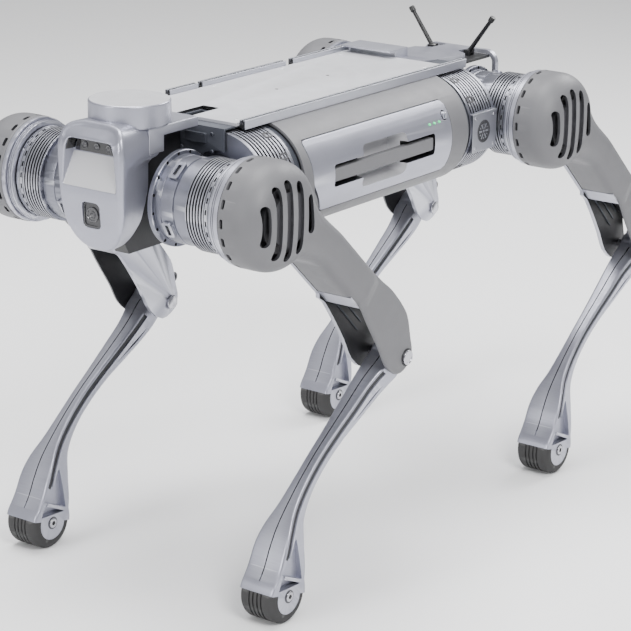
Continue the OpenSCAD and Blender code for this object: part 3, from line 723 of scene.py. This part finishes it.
def pins():
    foot = shank_point(THIGH, 0, 0)
    knee = (KNEE.x / MM, KNEE.z / MM)
    cap = turn("knee_pin", [(161.5, 0), (161.5, 9), (162.3, 10), (164.7, 10), (164.7, 6), (226.9, 6),
                            (226.9, 10), (229.3, 10), (230, 9.2), (230, 7.6), (229.2, 7.2), (229.2, 0)], "y",
               (knee[0], 0, knee[1]), 64)
    bevel(cap, 0.3, 40)
    on_legs(cap, "steel", "shank", "shank_pins")
    half = (FOOT_BOX[1].y - FOOT_BOX[0].y) / MM / 2
    bolts = []
    for side in (-1, 1):
        profile = [(20, 0), (20, 4), (half, 4), (half, 6.5), (half + 1.4, 6.5), (half + 2, 5.9),
                   (half + 2, 3), (half + 0.6, 2.4), (half + 0.6, 0)]
        profile = [(LEG_Y + side * a, r) for a, r in profile]
        bolts.append(turn("bolt", profile, "y", (foot[0], 0, foot[2]), 48))
    bolt = bevel(join(bolts, "foot_bolt"), 0.25, 40)

    # Painted shade: the socket in the bolt's end is coloured black.
    def socket(at, normal):
        return math.dist((at.x, at.z), (foot[0], foot[2])) < 3.1
    on_legs(paint(bolt, socket), "steel+black", "shank")
    profile = ((half - 1, 6.9), (half + 0.5, 6.9), (half + 0.5, 8.6), (half - 1, 8.6))
    washers = [turn("washer", [(LEG_Y + side * a, r) for a, r in profile], "y", (foot[0], 0, foot[2]), 48)
               for side in (-1, 1)]
    on_legs(shade(join(washers, "foot_washers")), "dark", "shank")


# ---------- body ----------

def plates():
    for cad, look, width in (("belly_plate", "grey", 1.0), ("side_shell_left", "grey", 1.2),
                             ("side_shell_right", "grey", 1.2), ("end_brackets", "black", 0.8),
                             ("trunk_frame", "slate", 0.6), ("neck_cover", "silver", 1.2),
                             ("rear_cover", "silver", 0.8)):
        dress(bevel(cad_copy(cad + "_fine", cad), width), look, "trunk", cad)
    middle = MIDDLE / MM
    rails = bevel(cad_copy("top_rails_fine", "top_rails"), 0.5)

    # Painted shade: the walls of the rails' slots are coloured black.
    def slot(at, normal):
        return 85.9 < abs(at.y) < 88.9 and at.z - middle.z > 78
    dress(paint(rails, slot), "rail+black", "trunk", "top_rails")
    plate = bevel(cad_copy("top_plate_fine", "top_plate"), 0.7)

    # Painted shade: the deck's holes and the walls of the opening near its front are coloured black.
    def hole(at, normal):
        x = at.x - middle.x
        return min(math.dist((x, at.y), (h, 0)) for h in (-61, 53)) < 3.2 or \
            (abs(normal.z) < 0.3 and 188 < x < 245.5 and abs(at.y) < 13.5)
    dress(paint(plate, hole), "plate+black", "trunk", "top_plate")
    screws = []
    for x, y in ((-190, 70), (-190, -70), (-60, 76), (-60, -76), (90, 76), (90, -76), (228, 70), (228, -70)):
        profile = [(80.5, 0), (80.5, 3.4), (80.9, 3.4), (81.2, 3), (81.2, 1.6), (80.8, 1.5), (80.8, 0)]
        screws.append(turn("screw", profile, "z", (x, y, 0), 20))
    dress(shade(on_body(join(screws, "deck_screws"))), "plate", "trunk")
    boss = prism("boss", rounded([(22, 56), (54, 56), (54, 68), (22, 68)], 2), "x", 266.2, 271)
    parts = [boss] + [disc_x("stud", 2.4, 266.2, 268.4, y, z) for y in (14, 62) for z in (46, 68)]
    right = [part_copy(part, Matrix.Diagonal((1, -1, 1, 1))) for part in parts]
    dress(bevel(on_body(join(parts + right, "front_bosses")), 0.5), "slate", "trunk")


def part_copy(part, matrix):
    mesh = part.data.copy()
    mesh.transform(matrix)
    if matrix.determinant() < 0:
        mesh.flip_normals()
    obj = bpy.data.objects.new(part.name, mesh)
    bpy.context.scene.collection.objects.link(obj)
    return obj


def disc_x(name, r, x0, x1, y, z, edge=0.4, steps=32):
    return turn(name, [(x0, 0), (x0, r), (x1 - edge, r), (x1, r - edge), (x1, 0)], "x", (0, y, z), steps)


def lidar():
    low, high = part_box("lidar")
    base, top = (low.z - MIDDLE.z) / MM, (high.z - MIDDLE.z) / MM
    centre = ((low.x + high.x) / 2 - MIDDLE.x) / MM
    r = (high.x - low.x) / MM / 2
    profile = [(base, 0), (base, r - 1.5), (base + 1.5, r - 1.5), (base + 1.5, r - 0.4), (base + 2, r)]
    profile += [(top - 2.4 + 2.4 * math.sin(a), r - 2.4 + 2.4 * math.cos(a))
                for a in (0, 0.4, 0.8, 1.2, 1.57)]
    profile += [(top, 0)]
    puck = turn("lidar_puck", profile, "z", (centre, 0, 0), 128)
    bevel(on_body(puck), 0.2, 50, 1)

    def top_face(at, normal):
        return normal.z > 0.9
    dress(paint(puck, top_face), "silver+plate", "trunk", "lidar")


def motors():
    motor = bevel(cad_copy("abduction_motors_fine", "abduction_motors"), 0.3, 40, 1)
    middle = MIDDLE / MM

    def radius(at):
        return math.hypot(abs(at.y) - ABD_Y, at.z - middle.z)
    rim = max(radius(v.co / MM) for v in motor.data.vertices if v.co.z / MM - middle.z < -40)

    # Painted shade: the grooves between the motor's fins are coloured black.
    def groove(at, normal):
        on_pad = abs(at.y) - ABD_Y > 45 and abs(at.z - middle.z + 5) < 28
        cut = abs(normal.x) > 0.9 or rim - 7 < radius(at) < rim - 1.5
        return 202 < abs(at.x - middle.x) < 257.5 and cut and not on_pad
    dress(paint(motor, groove), "motor_x+black", "trunk", "abduction_motors")
    for sx in (1, -1):
        for sy in (1, -1):
            where = f"{'front' if sx > 0 else 'rear'}_{'left' if sy > 0 else 'right'}"
            at = (sx * 229, 0, -5)
            grille = turn("grille", [(144.6, 0), (144.6, 16), (145.2, 16), (145.7, 15.4), (145.7, 14),
                                     (145.4, 13.6), (145.4, 0)], "y", at, 64)
            holes = [prism("spoke", [(at[0] + r * math.cos(a), at[2] + r * math.sin(a)) for r, a in
                                     ((4, k * 1.0472 - 0.3), (4, k * 1.0472 + 0.3), (12, k * 1.0472 + 0.16),
                                      (12, k * 1.0472 - 0.16))], "y", 144.9, 150) for k in range(6)]
            for k in range(6):
                a = k * 1.0472 + 0.5236
                x, z = at[0] + 9.5 * math.cos(a), at[2] + 9.5 * math.sin(a)
                holes.append(disc("hole", 1.5, 144.9, 150, x, z, 0.1, 12))
            holes.append(disc("hole", 2, 144.9, 150, at[0], at[2], 0.1, 16))
            combine(grille, [join(holes, "holes")])
            profile = [(144.8, 0), (144.8, 2.2), (145.5, 2.2), (145.8, 1.8), (145.8, 1), (145.3, 0.9),
                       (145.3, 0)]
            screws = [turn("screw", profile, "y", (sx * x, 0, z), 16)
                      for x in (208, 254) for z in (-26, 16)]
            for obj, look in ((grille, "dark"), (join(screws, "screws"), "steel")):
                if sy < 0:
                    obj.data.transform(Matrix.Diagonal((1, -1, 1, 1)))
                    obj.data.flip_normals()
                obj.name = f"motor_{'grille' if look == 'dark' else 'screws'}_{where}"
                dress(shade(on_body(obj)), look, "trunk")
            plugs = []
            for angle in (34, 62, -52):
                plug = prism("plug", rounded([(-8, -5), (8, -5), (8, 5), (-8, 5)], 5), "z", 66, 72)
                core = rounded([(-5, -2.6), (5, -2.6), (5, 2.6), (-5, 2.6)], 2.6)
                core = prism("core", core, "z", 70.6, 76)
                for shape in (plug, core):
                    shape.data.transform(Matrix.Translation((sx * 0.212, sy * ABD_Y * MM, 0)) @
                                         Matrix.Rotation(math.radians(90 - angle) * -sy, 4, "X"))
                combine(plug, [core])
                plugs.append(plug)
            obj = on_body(join(plugs, f"motor_plugs_{where}"))
            dress(bevel(obj, 0.5), "dark", "trunk")


def battery():
    x0, x1, z0, z1 = -146, 172, -44, 51
    side = rounded([(x0, z0), (x1 - 34, z0), (x1 - 4, z0 + 40), (x1, z1), (x0, z1)], [9, 12, 14, 8, 9])
    face = prism("battery_face", side, "y", 114, 150)
    curve = [(ABD_Y + 75 * math.cos(a), 75 * math.sin(a)) for a in (math.radians(6 * k) for k in range(60))]
    combine(face, [prism("curve", curve, "x", -200, 200)], "INTERSECT")
    slot = rounded([(-105, -14.5), (124, -14.5), (124, 14.5), (-105, 14.5)], 4)
    rows = []
    for i, y in ((7, 117), (6, 121), (1, 140), (0, 152)):
        corners = [(-42 + i, -29 + i), (60 - i, -29 + i), (60 - i, 29 - i), (-42 + i, 29 - i)]
        rows.append([(x, y, z) for x, z in rounded(corners, 10)])
    cuts = [prism("slot", slot, "y", 134, 160), rings("recess", rows),
            disc("well", 6.4, 130, 160, -135, 33, 0.1, 40)]
    for k in range(3):
        cuts.append(disc("led_hole", 1.7, 138, 160, -97 - 11.5 * k, 27, 0.1, 24))
    combine(face, cuts)
    bevel(face, 1.0, 28, 3)
    block_in = block("battery_block", (x0 + 3, x1 - 39), (-95, 113.8), (z0 + 3, z1 - 3))
    bevel(block_in, 2)
    pack = join([face, block_in], "battery_case")

    # Painted shade and highlight: the button's well and the grip's slot are coloured black as painted shade, and
    # the recess takes the lighter plate colour as a painted highlight.
    def deep(at, normal):
        if at.y < 116 or math.hypot(at.y - ABD_Y, at.z) > 74.2:
            return 0
        if -41.8 < at.x < 59.8 and abs(at.z) < 28.8:
            return 2
        return math.dist((at.x, at.z), (-135, 33)) < 6.7 or (
            at.y > 133 and -105.2 < at.x < 124.2 and abs(at.z) < 14.8)
    dress(on_body(paint(pack, deep)), "silver+black+plate", "battery", "battery_pack")
    bar = rounded([(-103.8, -8.5), (122.8, -8.5), (122.8, 9), (-103.8, 9)], 3)
    bar = prism("battery_grip", bar, "y", 134.1, 144.8)
    dress(on_body(bevel(bar, 1.2)), "grey", "battery", "battery_handle")
    leds = [turn("led", [(138, 0), (138, 1.5), (143.4, 1.5), (143.8, 1.1), (143.8, 0)], "y",
                 (-97 - 11.5 * k, 0, 27), 20) for k in range(3)]
    dress(shade(on_body(join(leds, "battery_leds"))), "led", "battery", "charge_leds")
    cap = turn("cap", [(131.9, 0), (131.9, 5), (141.6, 5), (142, 4.6), (142, 0)], "y", (-135, 0, 33), 40)
    raised = rounded([(-137.2, 28.8), (-132.8, 28.8), (-132.8, 37.2), (-137.2, 37.2)], 2.1)
    raised = prism("raised", raised, "y", 140, 143.4)
    combine(cap, [raised], "UNION")
    cap.name = "button_cap"
    dress(on_body(bevel(cap, 0.5)), "rail", "power_button", "power_button")


# ---------- head ----------

HEAD = ((0, -59), (16, -58), (30, -50), (41, -34), (48, -8), (51, 30), (52, 62), (49, 82), (41, 94),
        (24, 98.5), (0, 99))
SPLIT = 57


def spline(points, steps):
    """A closed smooth curve through the points."""
    out = []
    n = len(points)
    for i in range(n):
        a, b, c, d = (Vector(points[(i + k) % n]) for k in (-1, 0, 1, 2))
        for j in range(steps):
            t = j / steps
            out.append(0.5 * (2 * b + (c - a) * t + (2 * a - 5 * b + 4 * c - d) * t ** 2
                              + (3 * b - a - 3 * c + d) * t ** 3))
    return out


def head_reach(z):
    """How far ahead the face is at a height."""
    rows = ((-60, 412.5), (-30, 421), (10, 425), (40, 425.6), (74, 425.6), (86, 423), (94, 418), (100, 411))
    for (z0, x0), (z1, x1) in zip(rows, rows[1:]):
        if z <= z1:
            t = max(0, (z - z0) / (z1 - z0))
            return x0 + (x1 - x0) * t
    return rows[-1][1]


def head_width(x, z):
    """Share of the outline's width at a place along the head: it narrows behind, below the split."""
    low = between(((346, 27, 0), (372, 36, 0), (400, 47, 0), (418, 52, 0), (430, 52, 0)), x)[0]
    high = between(((346, 45, 0), (366, 45.5, 0), (400, 50, 0), (418, 52, 0), (430, 52, 0)), x)[0]
    t = min(max((z - 42) / (SPLIT - 42), 0), 1)
    t = t * t * (3 - 2 * t)
    return (low + (high - low) * t) / 52


def head_shell():
    outline = spline(list(HEAD) + [(-y, z) for y, z in reversed(HEAD[1:-1])], 6)
    rows = []
    edge = 6
    for u in [k / 14 for k in range(15)]:
        rows.append([(346 + u * (head_reach(z) - edge - 346),
                      y * head_width(346 + u * (head_reach(z) - edge - 346), z), z) for y, z in outline])
    for a in [math.pi / 2 * k / 5 for k in range(1, 6)]:
        inset = edge * (1 - math.cos(a))
        rows.append([(head_reach(z) - edge + edge * math.sin(a), y * (1 - inset / 52),
                      z - inset * (z - 20) / 79) for y, z in outline])
    last = rows[-1]
    for share in (0.85, 0.68, 0.5, 0.32, 0.15, 0.04):
        rows.append([(head_reach(20 + (z - 20) * share), y * share, 20 + (z - 20) * share)
                     for x, y, z in last])
    head = rings("head_shell_fine", rows)
    hollow = [[(min(x, 403), y * 0.9, 20 + (z - 20) * 0.94) for x, y, z in row] for row in rows[:15]]
    hollow[0] = [(340, y, z) for x, y, z in hollow[0]]
    cuts = [rings("hollow", hollow)]
    cuts.append(prism("chin_cut", [(330, 10), (346, 10), (362, -28), (392, -59), (392, -80), (330, -80)],
                      "y", -80, 80))
    cuts.append(block("neck_cut", (330, 366.3), (-80, 80), (SPLIT, 120)))
    cuts.append(turn("lidar_pocket", [(89, 0), (89, 51.2), (130, 51.2), (130, 0)], "z", (349, 0, 0), 96))
    rows = []
    for x, grow in ((440, 3), (head_reach(50) + 0.4, 0.6), (head_reach(50) - 1.5, -0.6), (404, -2.5)):
        rows.append([(x, y, z) for y, z in rounded(
            [(-34 - grow, 80 + grow), (34 + grow, 80 + grow), (38.5 + grow, 68), (43 + grow, 18 - grow),
             (-43 - grow, 18 - grow), (-38.5 - grow, 68)], [7, 7, 10, 7, 7, 10])])
    brow = rings("brow", rows)
    slope = prism("slope", [(450, 13), (426.5, 17), (409, 60), (408, 77), (414, 84), (450, 84)], "y", -60, 60)
    combine(brow, [slope], "INTERSECT")
    cuts.append(brow)
    cuts.append(prism("camera_cut", rounded([(-14, -29), (14, -29), (14, 3), (-14, 3)], 7), "x", 400, 440))
    soften(head, 1.0, 4, 1)
    combine(head, cuts)
    soften(head, 0.8, 2, 0.4)

    # Painted highlight: the upward-facing slope in the brow's recess takes the lighter plate colour.
    def slope_painted_highlight(at, normal):
        return at.x > 404 and 19 < at.z < 60 and normal.z > 0.25 and abs(at.y) < 42
    dress(on_body(paint(head, slope_painted_highlight)), "silver+plate", "trunk", "head_shell")


def head_lamps():
    glass = prism("lamp_strip", rounded([(-34, 61), (34, 61), (30.5, 77), (-30.5, 77)], 2), "x", 406.5, 410)
    # Dark wings run forward from the strip's ends along the recess's side walls.
    ends = [rings("end", [[(405, way * (y - 1.4), z), (405, way * y, z), (423, way * (y + 2.8), z),
                           (423, way * (y + 1.4), z)] for y, z in ((36, 63), (32, 77))]) for way in (-1, 1)]
    combine(glass, ends, "UNION")
    dress(on_body(bevel(glass, 0.4)), "glass", "trunk", "light_bar")
    for k, y in enumerate((-19, 0, 19)):
        lens = turn(f"lamp_{k + 1}", [(409.8, 0), (409.8, 4.6), (410.8, 4.6), (411.2, 4.1), (410.4, 2.6),
                                      (411.2, 0)], "x", (0, y, 69), 40)
        dress(shade(on_body(lens)), "lamp", "trunk")


def head_camera():
    pane = prism("camera_window", rounded([(-13.6, -28.6), (13.6, -28.6), (13.6, 2.6), (-13.6, 2.6)], 6.6),
                 "x", 402, 420.6)
    rim = rounded([(-11.4, -26.4), (11.4, -26.4), (11.4, 0.4), (-11.4, 0.4)], 5)
    rim = prism("rim", rim, "x", 419.4, 430)
    combine(pane, [rim])
    dress(on_body(bevel(pane, 0.5)), "window", "trunk", "head_camera")
    lens = turn("camera_lens", [(419, 0), (419, 9.6), (420.6, 9.6), (421.2, 9), (421.2, 7.4), (420.2, 6.8),
                                (420.2, 5), (421, 4.6), (421, 3.4), (420, 2.8), (420.6, 0)], "x",
                (0, 0, -13), 64)
    dress(shade(on_body(lens), 25), "lamp", "trunk")


def antennas():
    for side, sign in (("left", 1), ("right", -1)):
        hinge = Vector(JOINTS[f"antenna_{side}_tilt"]["pos_m"])
        rod = turn("rod", [(0, 0), (0, 3.9), (2, 3.9), (6, 3.3), (56, 2.9), (58, 3.2), (59, 4.2), (65, 4.5),
                           (66.6, 3.8), (67, 2.6), (67, 0)], "z", steps=40)
        rod.data.transform(Matrix.Rotation(-sign * math.radians(36), 4, "X"))
        foot = turn("foot", [(-8, 0), (-8, 1.5), (-4, 1.5), (-4, 3.6), (-3.6, 4), (3.6, 4), (4, 3.6),
                             (4, 1.5), (8, 1.5), (8, 0)], "x", steps=40)
        combine(rod, [foot], "UNION")
        rod.data.transform(Matrix.Translation(hinge))
        rod.name = f"antenna_{side}_rod"
        dress(shade(rod, 35), "antenna", f"antenna_{side}", f"antenna_{side}")


def hidden_parts():
    """CAD nodes whose shape stays as it is."""
    for leg in LEGS:
        for part, look in (("knee_motor", "dark"), ("knee_crank", "steel"), ("knee_rod", "black_metal")):
            obj = frame["nodes"][f"{leg}_{part}"]
            obj.data.materials.clear()
            obj.data.materials.append(LOOKS[look])


# ---------- stage ----------

def stage():
    floor = bpy.data.meshes.new("floor")
    size = 30
    corners = [(-size, -size, 0), (size, -size, 0), (size, size, 0), (-size, size, 0)]
    floor.from_pydata(corners, [], [(0, 1, 2, 3)])
    obj = bpy.data.objects.new("floor", floor)
    bpy.context.scene.collection.objects.link(obj)
    pale = bpy.data.materials.new("floor_pale")
    pale.use_nodes = True
    shader = pale.node_tree.nodes["Principled BSDF"]
    shader.inputs["Base Color"].default_value = (0.93, 0.93, 0.935, 1)
    shader.inputs["Roughness"].default_value = 0.7
    floor.materials.append(pale)
    world = bpy.data.worlds.new("studio")
    world.use_nodes = True
    tree = world.node_tree
    place = tree.nodes.new("ShaderNodeTexCoord").outputs["Generated"]
    split = tree.nodes.new("ShaderNodeSeparateXYZ")
    tree.links.new(place, split.inputs[0])
    sky = mix_colour(tree, ramp(tree, split.outputs["Z"], -0.05, 0.85, 0, 1), (0.34, 0.35, 0.38), (1, 1, 1))
    tree.links.new(sky, tree.nodes["Background"].inputs["Color"])
    tree.nodes["Background"].inputs["Strength"].default_value = 0.75
    bpy.context.scene.world = world
    for name, at, size, power in (("key", (1.6, 2.6, 3.0), 1.4, 150), ("face", (3.6, -0.8, 1.4), 1.0, 50),
                                  ("back", (-2.6, 0.4, 2.4), 1.4, 80), ("top", (0.2, -0.4, 3.2), 1.8, 130)):
        light = bpy.data.lights.new(name, "AREA")
        light.energy = power
        light.size = size
        lamp = bpy.data.objects.new(name, light)
        lamp.location = at
        lamp.rotation_euler = (Vector((0, 0, 0.3)) - Vector(at)).to_track_quat("-Z", "Y").to_euler()
        bpy.context.scene.collection.objects.link(lamp)


def camera():
    azimuth, height, roll, distance = math.radians(35.87), math.radians(17.34), math.radians(0.72), 3.2
    back = Vector((math.cos(height) * math.cos(azimuth), math.cos(height) * math.sin(azimuth),
                   math.sin(height)))
    aim = MIDDLE + Vector((0.0513, 0.0661, -0.2173))
    right = Vector((0, 0, 1)).cross(back).normalized()
    up = back.cross(right)
    turn_x = right * math.cos(roll) + up * math.sin(roll)
    turn_y = up * math.cos(roll) - right * math.sin(roll)
    data = bpy.data.cameras.new("camera")
    data.sensor_width = 36
    data.lens = 137.27
    data.clip_end = 60
    obj = bpy.data.objects.new("camera", data)
    spin = Matrix((turn_x, turn_y, back)).transposed().to_4x4()
    obj.matrix_world = Matrix.Translation(aim + back * distance) @ spin
    bpy.context.scene.collection.objects.link(obj)
    bpy.context.scene.camera = obj


camera()
stage()
hip_bracket()
hip_motor()
thigh()
shank()
foot_sole()
pins()
plates()
lidar()
motors()
battery()
head_shell()
head_lamps()
head_camera()
antennas()
hidden_parts()
